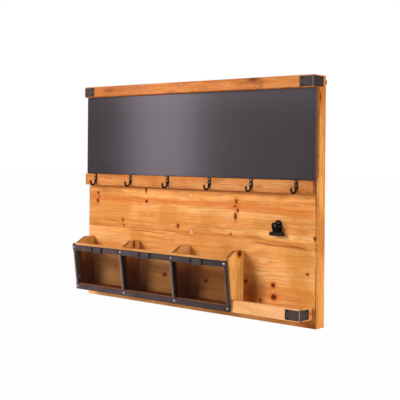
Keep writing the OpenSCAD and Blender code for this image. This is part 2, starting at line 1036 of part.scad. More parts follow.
module clip_front_plate() {
    profile = [
        [-clip_pivot_out - clip_front_out, clip_front_up],
        [-clip_jaw_front, -clip_jaw_drop],
        [-clip_jaw_front - clip_lip_out, -clip_jaw_drop - clip_lip_drop]
    ];
    color(black_iron)
        at_clip()
            difference() {
                union() {
                    clip_sheet(profile, clip_front_up, clip_handle_half);
                    difference() {
                        clip_ears(clip_handle_half - clip_t, clip_pivot_out, clip_pivot_out + 6);
                        translate([-30, 0, 0])
                            along_x(60)
                                polygon(concat(
                                    [for (i = [0, 1]) mitre(profile, i, -clip_t / 4)],
                                    [[-40, -clip_jaw_drop], [-40, clip_front_up]]
                                ));
                    }
                }
                pin_bore();
                translate([0, 0, clip_hole_up])
                    rotate([90, 0, 0])
                        cylinder(r = clip_hole_r, h = 40);
            }
}

module clip_pin() {
    reach = clip_back_ear_x + clip_t + 0.8;
    color(steel)
        at_clip()
            translate([-reach, -clip_pivot_out, 0])
                rotate([0, 90, 0])
                    cylinder(r = clip_pin_r, h = 2 * reach);
}

// Half of the ribbed coil on the pin, towards +X, with a leg that leans out by the given angle
module spring_half(lean, side) {
    coil_r = spring_bore_r + spring_wire_r;
    half = spring_turns * spring_pitch;
    rotate([0, 90, 0])
        rotate_extrude()
            union() {
                for (i = [1:spring_turns])
                    translate([coil_r, i * spring_pitch])
                        circle(spring_wire_r, $fn = 16);
                translate([coil_r - 0.2, spring_pitch])
                    square([0.4, half - spring_pitch]);
            }
    translate([half, side * coil_r, 0])
        rotate([-side * lean, 0, 0])
            cylinder(r = spring_wire_r, h = spring_leg_l, $fn = 16);
}

module clip_spring_back() {
    color(bright)
        at_clip()
            translate([0, -clip_pivot_out, 0])
                mirror([1, 0, 0])
                    spring_half(26, 1);
}

module clip_spring_front() {
    color(bright)
        at_clip()
            translate([0, -clip_pivot_out, 0])
                spring_half(33, -1);
}

module clip_screw() {
    color(bright)
        at_clip()
            translate([0, -clip_t, clip_screw_up])
                domed_nail(clip_screw_head_r, 1.8, clip_t + shank_bite);
}

// Hangers

module at_hanger(side) {
    translate([side * hanger_x, side_back_y, hanger_z])
        children();
}

module hanger_holes() {
    for (side = [-1, 1])
        at_hanger(side)
            translate([0, 0, -hanger_screw_drop])
                rotate([0, 0, 180])
                    shank_hole_y(shank_bite + past);
}

// Leaf with a rounded foot, narrowing to the barrel that holds the ring
module hanger(side) {
    color(black_iron)
        at_hanger(side)
            difference() {
                union() {
                    rotate([90, 0, 0])
                        translate([0, 0, -hanger_t])
                            linear_extrude(hanger_t)
                                union() {
                                    translate([0, -hanger_screw_drop])
                                        circle(hanger_w / 2);
                                    polygon([
                                        [-hanger_w / 2, -hanger_screw_drop],
                                        [hanger_w / 2, -hanger_screw_drop],
                                        [barrel_w / 2, -barrel_r - 1],
                                        [barrel_w / 2, 0],
                                        [-barrel_w / 2, 0],
                                        [-barrel_w / 2, -barrel_r - 1]
                                    ]);
                                }
                    translate([-barrel_w / 2, ring_out, 0])
                        rotate([0, 90, 0])
                            cylinder(r = barrel_r, h = barrel_w);
                }
                translate([-barrel_w, ring_out, 0])
                    rotate([0, 90, 0])
                        cylinder(r = barrel_bore_r, h = 2 * barrel_w);
                translate([0, hanger_t, -hanger_screw_drop])
                    rotate([0, 0, 180])
                        shank_hole_y(hanger_t + past);
            }
}

// D-ring, hanging from its straight side
module ring(side) {
    color(black_iron)
        at_hanger(side)
            translate([0, ring_out, 0])
                union() {
                    translate([-ring_bow_r, 0, 0])
                        rotate([0, 90, 0])
                            cylinder(r = ring_wire_r, h = 2 * ring_bow_r);
                    translate([0, 0, -ring_side_l])
                        rotate([90, 0, 0])
                            rotate([0, 0, 180])
                                rotate_extrude(angle = 180)
                                    translate([ring_bow_r, 0])
                                        circle(ring_wire_r);
                    for (s = [-1, 1])
                        translate([s * ring_bow_r, 0, 0]) {
                            sphere(ring_wire_r);
                            translate([0, 0, -ring_side_l])
                                cylinder(r = ring_wire_r, h = ring_side_l);
                        }
                }
}

module hanger_screws() {
    color(bright)
        for (side = [-1, 1])
            at_hanger(side)
                translate([0, hanger_t, -hanger_screw_drop])
                    rotate([0, 0, 180])
                        domed_nail(hanger_screw_head_r, 1.6, hanger_t + shank_bite - 1);
}

plank_lower();
plank_middle();
plank_upper();
batten_left();
batten_middle();
batten_right();
blackboard();
top_rail();
top_strap_left();
top_strap_right();
strap_nails();
hook_rail();
hook(0);  // hook_1
hook(1);  // hook_2
hook(2);  // hook_3
hook(3);  // hook_4
hook(4);  // hook_5
hook(5);  // hook_6
hook_screws();
upright(0);  // box_side_left
upright(1);  // divider_left
upright(2);  // divider_right
upright(3);  // box_side_right
box_bottom();
lath_top();
lath_bottom();
post(0);  // post_1
post(1);  // post_2
post(2);  // post_3
post(3);  // post_4
strip_top();
strip_bottom();
mesh(0);  // mesh_left
mesh(1);  // mesh_middle
mesh(2);  // mesh_right
front_nails();
label_holder(0);  // label_holder_left
label_holder(1);  // label_holder_middle
label_holder(2);  // label_holder_right
label_pins();
ledge_rail();
ledge_end();
ledge_bottom();
ledge_strap();
clip_back_plate();
clip_front_plate();
clip_pin();
clip_spring_back();
clip_spring_front();
clip_screw();
hanger(-1);  // hanger_left
hanger(1);  // hanger_right
ring(-1);  // ring_left
ring(1);  // ring_right
hanger_screws();
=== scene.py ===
import json
import math
import random

import bmesh
import bpy
from mathutils import Matrix, Vector


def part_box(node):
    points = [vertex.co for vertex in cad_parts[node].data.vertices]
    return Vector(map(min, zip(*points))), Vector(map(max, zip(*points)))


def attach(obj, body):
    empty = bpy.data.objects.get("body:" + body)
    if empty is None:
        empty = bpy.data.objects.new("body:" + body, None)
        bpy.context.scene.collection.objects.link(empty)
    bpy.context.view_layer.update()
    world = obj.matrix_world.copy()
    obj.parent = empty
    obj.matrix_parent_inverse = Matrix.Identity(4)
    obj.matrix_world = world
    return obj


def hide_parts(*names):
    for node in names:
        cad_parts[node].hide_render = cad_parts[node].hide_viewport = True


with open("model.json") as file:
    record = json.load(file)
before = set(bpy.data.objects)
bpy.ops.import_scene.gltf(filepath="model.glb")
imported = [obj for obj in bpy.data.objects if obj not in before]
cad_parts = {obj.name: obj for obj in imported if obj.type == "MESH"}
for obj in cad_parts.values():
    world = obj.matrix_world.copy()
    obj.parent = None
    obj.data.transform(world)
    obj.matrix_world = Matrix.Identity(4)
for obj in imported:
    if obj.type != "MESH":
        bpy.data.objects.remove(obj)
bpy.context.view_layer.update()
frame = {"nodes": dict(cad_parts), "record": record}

scene = bpy.context.scene
nodes = frame["nodes"]

# Places on the organiser, in metres, as in the part's source
FRONT_Y = -0.044
BOARD_HALF = 0.400
BLACKBOARD_HALF = 0.4015
HOOK_RAIL_TOP = 0.050

# Letter box: its floor, the slope of its front, and the pieces of the front
BOX_Z = -0.2775
DEPTH_LOW = 0.043
DEPTH_HIGH = 0.0605
FRONT_H = 0.131
SLANT = math.atan((DEPTH_HIGH - DEPTH_LOW) / FRONT_H)
FRONT_L = FRONT_H / math.cos(SLANT)
LATH_T = 0.010
LATH_SHOW = 0.0035
STRIP_T = 0.0012
STRIP_H = 0.016
STRIP_LOW = FRONT_L - LATH_SHOW - STRIP_H
MESH_BACK = 0.006
MESH_T = 0.0012
MESH_LAP = 0.004
LABEL_X = (-0.2885, -0.1005, 0.08475)
LABEL_W = 0.042
LABEL_FOLD = 0.004
FRAME = Matrix.Translation((0, FRONT_Y - DEPTH_LOW, BOX_Z)) @ Matrix.Rotation(SLANT, 4, "X")

MM = 0.001


# Node helpers

class Graph:
    """A node tree, with short calls for the nodes that the materials and the world use."""

    def __init__(self, tree):
        self.tree = tree

    def node(self, kind, inputs=None, **props):
        n = self.tree.nodes.new(kind)
        for key, value in props.items():
            setattr(n, key, value)
        for key, value in (inputs or {}).items():
            self.plug(n.inputs[key], value)
        return n

    def plug(self, socket, value):
        if isinstance(value, bpy.types.NodeSocket):
            self.tree.links.new(value, socket)
        else:
            socket.default_value = value

    def math(self, op, *values):
        n = self.node("ShaderNodeMath", operation=op)
        for i, v in enumerate(values):
            self.plug(n.inputs[i], v)
        return n.outputs[0]

    def add(self, a, b):
        return self.math("ADD", a, b)

    def subtract(self, a, b):
        return self.math("SUBTRACT", a, b)

    def multiply(self, a, b):
        return self.math("MULTIPLY", a, b)

    def multiply_add(self, a, b, c):
        return self.math("MULTIPLY_ADD", a, b, c)

    def absolute(self, a):
        return self.math("ABSOLUTE", a)

    def vector(self, op, a, b=(0, 0, 0)):
        n = self.node("ShaderNodeVectorMath", operation=op)
        self.plug(n.inputs[0], a)
        self.plug(n.inputs[1], b)
        return n.outputs["Value"] if op in ("LENGTH", "DOT_PRODUCT") else n.outputs[0]

    def join(self, x, y, z):
        n = self.node("ShaderNodeCombineXYZ")
        for i, v in enumerate((x, y, z)):
            self.plug(n.inputs[i], v)
        return n.outputs[0]

    def split(self, v):
        n = self.node("ShaderNodeSeparateXYZ")
        self.plug(n.inputs[0], v)
        return n.outputs[0], n.outputs[1], n.outputs[2]

    def noise(self, vector, scale, detail=3.0, rough=0.55):
        n = self.node("ShaderNodeTexNoise", {
            "Vector": vector, "Scale": scale, "Detail": detail, "Roughness": rough,
        })
        return n.outputs["Fac"]

    def span(self, value, low, high, to_low=0.0, to_high=1.0, smooth=False):
        """The value's place between low and high, held to that range and moved to another one."""
        n = self.node("ShaderNodeMapRange", {
            "Value": value, "From Min": low, "From Max": high, "To Min": to_low, "To Max": to_high,
        })
        if smooth:
            n.interpolation_type = "SMOOTHSTEP"
        return n.outputs["Result"]

    def mix(self, share, a, b, blend="MIX"):
        n = self.node("ShaderNodeMix", data_type="RGBA", blend_type=blend)
        self.plug(n.inputs["Factor"], share)
        self.plug(n.inputs["A"], a)
        self.plug(n.inputs["B"], b)
        return n.outputs["Result"]

    def blend_shaders(self, share, a, b, output):
        n = self.node("ShaderNodeMixShader", {"Fac": share})
        self.tree.links.new(a.outputs[0], n.inputs[1])
        self.tree.links.new(b.outputs[0], n.inputs[2])
        self.tree.links.new(n.outputs[0], self.tree.nodes[output].inputs["Surface"])

    def seen_ray(self):
        """1 for rays from the camera, and for those that gloss and glass send out."""
        path = self.node("ShaderNodeLightPath").outputs
        plain = self.math("MAXIMUM", path["Is Camera Ray"], path["Is Glossy Ray"])
        return self.math("MAXIMUM", plain, path["Is Transmission Ray"])


class Surface(Graph):
    """A material with one shader, whose patterns lie in the frame of the part."""

    def __init__(self, name):
        self.material = bpy.data.materials.new(name)
        self.material.use_nodes = True
        super().__init__(self.material.node_tree)
        self.shader = self.tree.nodes["Principled BSDF"]
        self.place = self.node("ShaderNodeTexCoord").outputs["Object"]
        self.colour = None

    def facing(self):
        """How far the surface faces along each axis."""
        return self.split(self.node("ShaderNodeTexCoord").outputs["Normal"])

    def paint(self, share, colour):
        """Lays another colour over the surface by the given share."""
        self.colour = self.mix(share, self.colour, colour)

    def bump(self, height, strength, distance):
        n = self.node("ShaderNodeBump", {"Height": height, "Strength": strength, "Distance": distance})
        self.plug(self.shader.inputs["Normal"], n.outputs["Normal"])

    def finish(self, roughness, specular, metallic=0.0):
        inputs = self.shader.inputs
        self.plug(inputs["Base Color"], self.colour)
        self.plug(inputs["Roughness"], roughness)
        inputs["Specular IOR Level"].default_value = specular
        inputs["Metallic"].default_value = metallic
        return self.material


def rgb(r, g, b):
    """Linear colour of an sRGB value given as 0 to 255."""
    def linear(c):
        c /= 255
        return c / 12.92 if c <= 0.04045 else ((c + 0.055) / 1.055) ** 2.4
    return (linear(r), linear(g), linear(b), 1.0)


# Wood

PINE_LIGHT = rgb(250, 188, 114)
PINE_MID = rgb(234, 156, 78)
PINE_DARK = rgb(180, 100, 34)
PINE_DEEP = rgb(128, 58, 16)
PINE_GOLD = rgb(206, 134, 46)
PINE_PINK = rgb(252, 182, 122)
PINE_PALE = rgb(252, 204, 140)
PINE_BAND = rgb(206, 104, 26)
PINE_SMOKE = rgb(172, 102, 38)
KNOT_DARK = rgb(74, 28, 12)
KNOT_RED = rgb(132, 60, 20)
END_GRAIN = rgb(136, 78, 26)
END_DARK = rgb(74, 36, 10)
SEAM_DARK = rgb(70, 32, 10)
# Colour of the painted shade along the front edges of the letter box's boards
RIM_SHADE_COLOUR = rgb(60, 28, 12)

# Axes along the grain, across it on the wide face, and into the board
AXES = {"x": (0, 2, 1), "xy": (0, 1, 2), "zx": (2, 0, 1), "zy": (2, 1, 0), "y": (1, 2, 0)}

# Fields of noise drawn out along the grain: waves per metre along it and across it, detail,
# roughness, and which of the board's random shifts each one takes
FIELDS = {
    "broad": (1.3, 40.0, 3.0, 0.60, (2, 3)),
    "mid": (3.4, 210.0, 4.0, 0.66, (1, 0)),
    "fine": (14.0, 430.0, 4.0, 0.65, (0, 2)),
    "smoke": (6.0, 26.0, 5.0, 0.68, (3, 1)),
}

# Colours over the ground of the wood: the field, where in it they start and are full, their
# strength and colour, whether they fade in softly, and whether a piece's liveliness scales them
LAYERS = (
    ("cloud", 0.50, 0.66, 0.60, PINE_GOLD, False, False),
    ("cloud", 0.46, 0.30, 0.45, PINE_PINK, False, False),
    ("smoke", 0.47, 0.70, 0.60, PINE_SMOKE, True, True),
    ("mid", 0.50, 0.70, 0.36, PINE_DARK, True, True),
    ("fine", 0.44, 0.70, 0.62, PINE_DARK, False, True),
)

# How far the grain wanders and wiggles across a board, and how much it shifts with depth
GRAIN_WANDER = 0.034
GRAIN_WIGGLE = 0.005
GRAIN_DEPTH = 0.6

# How far the grain bends round a knot, and how many half sizes that reaches along and across
KNOT_BEND = -0.62
BEND_ALONG = 3.4
BEND_ACROSS = 2.4

# How ragged the edge of a mark is, as a share of its size
MARK_RAGGED = 0.55

# A streak fades out over these lengths past and before its ends, and wiggles across by this much
STREAK_PAST = 0.012
STREAK_BEFORE = 0.020
STREAK_WIGGLE = 0.010

# A surface faces along an axis once its normal has this share, with a soft step between
FACING_FROM = 0.6
FACING_FULL = 0.9

# How dark end grain is: on most boards, and at the oiled sides of the lower planks
END_BARE = 0.85
SIDE_BARE = 0.22
PINE_SPECULAR = 0.08


class Pine(Surface):
    """Oiled pine of one board. Its grain runs along one axis and bends round its knots."""

    def __init__(self, name, grain, seed, lively=1.0):
        super().__init__(name)
        draw = random.Random(seed)
        self.shift = [draw.uniform(-5, 5) for _ in range(4)]
        self.axes = self.split(self.place)
        self.along, self.across, self.deep = (self.axes[i] for i in AXES[grain])
        self.normal = self.facing()
        self.end_on = self.absolute(self.normal[AXES[grain][0]])
        self.level = grain == "x"
        self.lively = lively
        self.knots = None
        self.other_marks = []

    def lay_grain(self, marks):
        """Lays the lines of growth round the marks, and the fields of noise along those lines."""
        s = self.shift
        wander = self.noise(self.join(self.multiply_add(self.along, 1.7, s[0]),
                                      self.multiply_add(self.across, 5.0, s[1]),
                                      self.multiply_add(self.deep, 5.0, s[2])), 1.0, 2.0, 0.5)
        self.wiggle = self.noise(self.join(self.multiply_add(self.along, 9.0, s[3]),
                                           self.multiply_add(self.across, 18.0, s[0]),
                                           self.multiply(self.deep, 18.0)), 1.0, 2.0, 0.5)
        line = self.multiply_add(self.wiggle, GRAIN_WIGGLE, self.across)
        line = self.multiply_add(wander, GRAIN_WANDER, line)
        line = self.multiply_add(self.deep, GRAIN_DEPTH, line)
        self.torn = self.noise(self.place, 230.0, 2.0)
        for mark in marks:
            line = self.add_mark(line, *mark)
        self.cloud = self.noise(self.vector("ADD", self.place, tuple(s[:3])), 9.0, 3.0, 0.55)
        for field, (per_along, per_across, detail, rough, (first, second)) in FIELDS.items():
            spot = self.join(self.multiply_add(self.along, per_along, s[first]),
                             self.multiply(line, per_across), s[second])
            setattr(self, field, self.noise(spot, 1.0, detail, rough))

    def add_mark(self, line, kind, along, across, half_l, half_w, strength):
        """Notes the distance from one mark, in millimetres, and bends the grain round a knot."""
        centre = (along * MM, across * MM, 0)
        half_l *= MM
        half_w *= MM
        off = self.vector("SUBTRACT", self.join(self.along, self.across, 0.0), centre)
        if kind not in ("stain_and_painted_shade", "shade"):
            reach = (1 / (BEND_ALONG * half_l), 1 / (BEND_ACROSS * half_w), 0)
            far = self.vector("MULTIPLY", off, reach)
            fade = self.math("EXPONENT", self.multiply(self.vector("DOT_PRODUCT", far, far), -1.0))
            line = self.multiply_add(self.multiply(self.split(off)[1], fade), KNOT_BEND, line)
        radius = self.vector("LENGTH", self.vector("MULTIPLY", off, (1 / half_l, 1 / half_w, 0)))
        radius = self.multiply_add(self.torn, MARK_RAGGED, self.subtract(radius, MARK_RAGGED / 2))
        if kind == "knot":
            radius = self.add(radius, (1 - strength) * 0.25)
            self.knots = radius if self.knots is None else self.math("MINIMUM", self.knots, radius)
        else:
            self.other_marks.append((kind, radius, strength))
        return line

    def paint_ground(self):
        self.colour = self.mix(self.span(self.broad, 0.36, 0.62), PINE_LIGHT, PINE_MID)
        for field, start, full, strength, colour, soft, scaled in LAYERS:
            strength *= self.lively if scaled else 1.0
            self.paint(self.span(getattr(self, field), start, full, 0.0, strength, soft), colour)
        dark_band = self.span(self.broad, 0.60, 0.74)
        self.paint(self.multiply(dark_band, self.span(self.mid, 0.42, 0.60, 0.1, 0.6)), PINE_DARK)

    def paint_streak(self, along_0, across_0, along_1, across_1, half_w, strength, colour):
        """A streak between two places, in millimetres."""
        slope = (across_1 - across_0) / (along_1 - along_0)
        start = (across_0 - slope * along_0) * MM
        off = self.subtract(self.across, self.multiply_add(self.along, slope, start))
        off = self.multiply_add(self.wiggle, STREAK_WIGGLE, self.subtract(off, STREAK_WIGGLE / 2))
        near, far, half_w = along_0 * MM, along_1 * MM, half_w * MM
        share = self.multiply(
            self.span(self.absolute(off), half_w, half_w * 0.25, smooth=True),
            self.multiply(self.span(self.along, near - STREAK_PAST, near + STREAK_BEFORE),
                          self.span(self.along, far + STREAK_PAST, far - STREAK_BEFORE)))
        in_grain = self.span(self.mid, 0.32, 0.60, 0.35 * strength, strength)
        self.paint(self.multiply(share, in_grain), colour)

    def paint_pale(self, radius, strength):
        """A healed knot: a pale patch in a dark outline, with a small dark heart."""
        self.paint(self.span(radius, 2.0, 1.1, 0.0, 0.40 * strength, True), PINE_DARK)
        self.paint(self.span(radius, 1.25, 0.3, 0.0, 0.8 * strength, True), PINE_PALE)
        self.paint(self.span(radius, 0.50, 0.2, 0.0, 0.4 * strength, True), PINE_DARK)

    def paint_ring(self, radius, strength):
        """Dark rings round a hidden knot."""
        twist = self.multiply_add(self.cloud, 2.4, radius)
        twist = self.multiply_add(self.torn, 1.1, twist)
        wave = self.math("SINE", self.multiply(twist, 10.0))
        wave = self.multiply(self.span(wave, -0.2, 0.9, smooth=True),
                             self.span(radius, 1.5, 0.9, smooth=True))
        wave = self.multiply(wave, self.span(self.mid, 0.3, 0.6, 0.4, 1.0))
        self.paint(self.multiply(wave, strength), PINE_DEEP)

    def paint_cloud(self, radius, strength, colour):
        """A brown patch, for stains and dark patches in the wood and for painted shade and painted
        shadows. On a level board it stays on the front face.
        """
        front = self.span(self.normal[1], -0.2, -0.7) if self.level else 1.0
        self.paint(self.multiply(self.span(radius, 1.3, 0.2, 0.0, strength, True), front), colour)

    def paint_marks(self):
        for kind, radius, strength in self.other_marks:
            if kind == "pale":
                self.paint_pale(radius, strength)
            elif kind == "ring":
                self.paint_ring(radius, strength)
            else:
                self.paint_cloud(radius, strength, PINE_DEEP if kind == "shade" else PINE_DARK)
        if self.knots is not None:
            self.paint(self.span(self.knots, 2.6, 1.1, 0.0, 0.55, True), PINE_BAND)
            self.paint(self.span(self.knots, 1.35, 0.85, 0.0, 0.90, True), KNOT_RED)
            self.paint(self.span(self.knots, 1.00, 0.40, 0.0, 0.90, True), KNOT_DARK)

    def paint_ends(self, bare, dark_from):
        """End grain, as dark as bare says and dark all the same from the height dark_from on."""
        if dark_from is not None:
            bare = self.span(self.axes[2], dark_from - 0.008, dark_from + 0.008, bare, END_BARE)
        speck = self.span(self.noise(self.place, 700.0, 2.0), 0.35, 0.6, 0.8, 1.0)
        share = self.multiply(self.span(self.end_on, FACING_FROM, FACING_FULL),
                              self.multiply(speck, bare))
        smudge = self.noise(self.vector("MULTIPLY", self.place, (40, 40, 34)), 1.0, 3.0, 0.65)
        self.paint(share, self.mix(self.span(smudge, 0.44, 0.62), END_GRAIN, END_DARK))

    def paint_seam(self):
        """A ragged dark line on the ends where the front face starts, and along that face's brim."""
        ragged = self.noise(self.vector("MULTIPLY", self.place, (60, 60, 26)), 1.0, 3.0, 0.7)
        gap = self.absolute(self.subtract(self.axes[1], FRONT_Y))
        gap = self.multiply_add(ragged, -0.0050, self.add(gap, 0.0014))
        end = self.span(self.end_on, FACING_FROM, FACING_FULL, 0.0, 0.85)
        self.paint(self.multiply(self.span(gap, 0.0007, 0.0), end), SEAM_DARK)
        brim = self.subtract(BOARD_HALF + 0.0035, self.absolute(self.axes[0]))
        brim = self.multiply_add(ragged, -0.0080, brim)
        front = self.span(self.absolute(self.normal[1]), FACING_FROM, FACING_FULL, 0.0, 0.75)
        self.paint(self.multiply(self.span(brim, 0.0034, 0.0), front), PINE_DEEP)

    def finish_wood(self):
        """Grain is a little hollow where it is dark, and knots stand lower still."""
        height = self.multiply_add(self.span(self.mid, 0.45, 0.7), -0.4, self.multiply(self.fine, -0.5))
        if self.knots is not None:
            height = self.add(height, self.span(self.knots, 1.1, 0.8, 0.0, -0.5))
        self.bump(height, 0.35, 0.0006)
        return self.finish(self.span(self.fine, 0.3, 0.7, 0.40, 0.56), PINE_SPECULAR)


def wood(name, grain, seed, marks=(), streaks=(), seam=False, tint=None, bare=END_BARE, dark_from=None,
         lively=1.0):
    """Pine of one board. marks are (kind, along, across, half length, half width, strength) and
    streaks are (along, across, along, across, half width, strength, colour), in millimetres. tint
    multiplies the colour, and lively is how strong the grain is."""
    pine = Pine(name, grain, seed, lively)
    pine.lay_grain(marks)
    pine.paint_ground()
    for streak in streaks:
        pine.paint_streak(*streak)
    pine.paint_marks()
    pine.paint_ends(bare, dark_from)
    if seam:
        pine.paint_seam()
    if tint is not None:
        pine.colour = pine.mix(1.0, pine.colour, (*tint, 1.0), "MULTIPLY")
    return pine.finish_wood()


# Metal, blackboard and floor

# Colour of the painted highlights on bends and on the left edges of the posts
PAINTED_HIGHLIGHT = rgb(168, 136, 126)
STEEL_SHADE = rgb(20, 13, 12)

# From where to where along the width the painted shade on steel grows darker
SHADE_FROM = -0.35
SHADE_FULL = 0.18


def metal(name, low, high, rough, metallic, scale, bump, flecks=0.0, fleck_colour=None, specular=0.3,
          fade=0.0, bend_highlight=0.0, highlight_bands=()):
    """Painted or waxed steel: clouds of scale waves per metre between two colours, fine grain and
    rubbed flecks, with painted shade that darkens it to the right by fade. The outside of a bend gets
    a painted highlight as strong as the bend share, and each band (x, half width) a painted highlight."""
    g = Surface(name)
    cloud = g.noise(g.place, scale, 4.0, 0.6)
    fine = g.noise(g.place, scale * 14, 2.0)
    g.colour = g.mix(g.span(cloud, 0.32, 0.68), low, high)
    if flecks:
        rub = g.noise(g.vector("MULTIPLY", g.place, (1.0, 1.0, 2.2)), scale * 5.0, 3.0, 0.65)
        g.paint(g.span(rub, 0.60, 0.72, 0.0, flecks), fleck_colour)
    # Noise that breaks up the painted highlights
    highlight_breakup = g.span(fine, 0.3, 0.6, 0.55, 1.0)
    if bend_highlight:
        facing = g.facing()
        round_corner = g.math("MINIMUM", g.absolute(facing[0]), g.absolute(facing[1]))
        g.paint(g.multiply(g.span(round_corner, 0.22, 0.55, 0.0, bend_highlight), highlight_breakup), PAINTED_HIGHLIGHT)
    for centre, half_w in highlight_bands:
        off = g.absolute(g.subtract(g.split(g.place)[0], centre))
        g.paint(g.multiply(g.span(off, half_w, half_w * 0.4, 0.0, 0.8), highlight_breakup), PAINTED_HIGHLIGHT)
    # Painted shade, darker towards the right by fade
    if fade:
        g.paint(g.span(g.split(g.place)[0], SHADE_FROM, SHADE_FULL, 0.0, fade), STEEL_SHADE)
    g.bump(fine, bump, 0.0002)
    grain = g.multiply_add(fine, 0.4, g.multiply(cloud, 0.6))
    return g.finish(g.span(grain, 0.35, 0.65, *rough), specular, metallic)


def slate(name):
    """Matt blackboard paint, with the bare brown edge of the sheet at its sides."""
    g = Surface(name)
    cloud = g.noise(g.vector("MULTIPLY", g.place, (1.0, 1.0, 1.6)), 5.0, 4.0, 0.6)
    fine = g.noise(g.place, 1500.0, 2.0)
    g.colour = g.mix(g.span(cloud, 0.3, 0.7), rgb(39, 33, 38), rgb(45, 39, 44))
    g.paint(g.span(fine, 0.35, 0.65, 0.0, 0.25), rgb(58, 51, 56))
    from_middle = g.absolute(g.split(g.place)[0])
    side = g.span(from_middle, BLACKBOARD_HALF - 0.0009, BLACKBOARD_HALF - 0.0005)
    g.paint(side, g.mix(g.span(g.noise(g.place, 160.0), 0.4, 0.6), rgb(116, 70, 34), rgb(78, 46, 26)))
    g.bump(fine, 0.10, 0.0002)
    return g.finish(g.span(cloud, 0.3, 0.7, 0.125, 0.145), 0.15)


def holder(name):
    """Label holder: black folded rim round a grey-brown face."""
    g = Surface(name)
    x = g.split(g.place)[0]
    rim = None
    for centre in LABEL_X:
        off = g.absolute(g.subtract(x, centre))
        rim = off if rim is None else g.math("MINIMUM", rim, off)
    fold = LABEL_W / 2 - LABEL_FOLD
    dark = g.multiply(g.span(rim, fold, fold + 0.0008), g.span(rim, LABEL_W / 2 + 0.0006, LABEL_W / 2))
    cloud = g.noise(g.place, 90.0, 4.0, 0.6)
    g.colour = g.mix(g.span(cloud, 0.35, 0.65), rgb(60, 47, 47), rgb(80, 64, 63))
    g.paint(dark, rgb(16, 13, 13))
    g.bump(g.noise(g.place, 900.0), 0.15, 0.0002)
    return g.finish(g.span(cloud, 0.3, 0.7, 0.40, 0.52), 0.3, 0.45)


def white_floor(name):
    """Near white floor that the camera and mirror-like surfaces see as lit paper, with its shadow kept."""
    g = Surface(name)
    g.colour = g.mix(g.noise(g.place, 2.0, 2.0), (0.93, 0.93, 0.93, 1), (0.96, 0.96, 0.96, 1))
    glow = g.node("ShaderNodeEmission", {"Color": (1, 1, 1, 1), "Strength": 1.0})
    g.blend_shaders(g.multiply(g.seen_ray(), 0.98), g.shader, glow, "Material Output")
    return g.finish(0.9, 0.1)


# Marks as the photograph shows them, in millimetres from the part's origin: kind, place along and
# across the grain, half length, half width and strength. A knot is dark, pale is a healed one and
# ring a hidden one, and stain and shade are light and dark brown patches. Some of these patches
# are painted shade and painted shadows, named where they stand.
MARKS_MIDDLE = [
    # The shade at 16.5 is a painted shadow under the hook rail.
    ("shade", 0, 16.5, 450, 4, 0.60), ("stain_and_painted_shade", -370, -50, 140, 120, 0.28),
    ("knot", -361.5, -5, 4.5, 4.5, 0.9), ("knot", -357, -15, 3, 4, 0.6),
    ("knot", -363.5, -27, 5, 6.2, 1.0), ("knot", -166.5, 10, 3.8, 8.5, 0.6),
    ("knot", -164, -21.5, 5, 4.2, 0.9), ("knot", -257.5, -78, 3.2, 5.2, 0.7),
    ("knot", -253, -92.5, 3.2, 2.8, 0.7), ("knot", -45.5, -82, 4.8, 5.8, 0.7),
    ("knot", 155.5, -8.5, 4, 6.2, 0.7), ("knot", 152, -21, 4.5, 2.6, 0.7),
    ("knot", 160.5, -31, 3.6, 5.2, 0.7), ("knot", 153.5, -46.5, 4.6, 9.5, 0.7),
    ("knot", 138.5, -92.5, 3, 2.8, 0.8), ("knot", 396, -87, 3.2, 5.5, 0.8),
    ("pale", 0.5, 0, 7.5, 6, 0.7), ("pale", 3, -96, 6.5, 8, 0.9),
]
MARKS_LOWER = [
    ("ring", -63.5, -121.5, 6, 8.5, 0.5), ("knot", 188.5, -207, 5.5, 4.8, 0.9),
    ("knot", 274.5, -208.5, 6.2, 5.8, 1.0), ("knot", 276.5, -237, 8.2, 7, 1.0),
    ("knot", 235, -248.5, 4.2, 3.8, 0.7), ("knot", 237, -258, 3, 2.8, 0.5),
    ("knot", 376, -172.5, 4.2, 3.2, 0.7), ("knot", -92.5, -217, 5.8, 4.4, 0.9),
    ("knot", 56, -219, 5.8, 4.4, 0.9), ("pale", 243.5, -151, 18, 7, 0.6),
    ("pale", 275, -223, 6, 4, 0.5), ("stain_and_painted_shade", 370, -290, 30, 16, 0.7),
    # Painted shade and shadows: the stain at 65 is painted shade behind the middle and right bays, the
    # shades at 290 and -100 painted shadows under the ledge and the letter box, and those at 198 and 215
    # the painted shadow of the tall side board. The shade at 390 is dark spots at the corner.
    ("stain_and_painted_shade", 65, -215, 115, 62, 0.50), ("shade", 290, -283, 120, 9, 0.80),
    ("shade", -100, -282, 320, 7, 0.55), ("shade", 198, -205, 32, 56, 0.50),
    ("shade", 215, -235, 42, 42, 0.58), ("shade", 390, -296, 24, 9, 0.70),
]
MARKS_TOP_RAIL = [
    # The first shade is painted shade along the rail's lower edge; the other shades are dark patches in
    # the wood.
    ("shade", 0, 269.5, 900, 4.2, 0.85), ("stain_and_painted_shade", -330, 286, 260, 40, 0.62),
    ("shade", 210, 288, 50, 4.5, 0.45), ("shade", -302, 288, 26, 7, 0.6),
    ("pale", -164.5, 294.5, 4.5, 3.5, 0.7), ("pale", -22, 293, 4.5, 4, 0.7),
    ("pale", 124.5, 288.5, 4.5, 4.5, 0.8), ("ring", 238, 284.5, 14, 13, 0.9),
    ("shade", 220, 295.5, 24, 7, 1.0), ("pale", 281, 293, 4.5, 3.5, 0.7),
]
MARKS_HOOK_RAIL = [
    ("stain_and_painted_shade", 240, 32, 16, 6, 0.5), ("knot", 388, 23, 1.8, 2, 0.5), ("stain_and_painted_shade", 375, 35, 70, 30, 0.45),
]

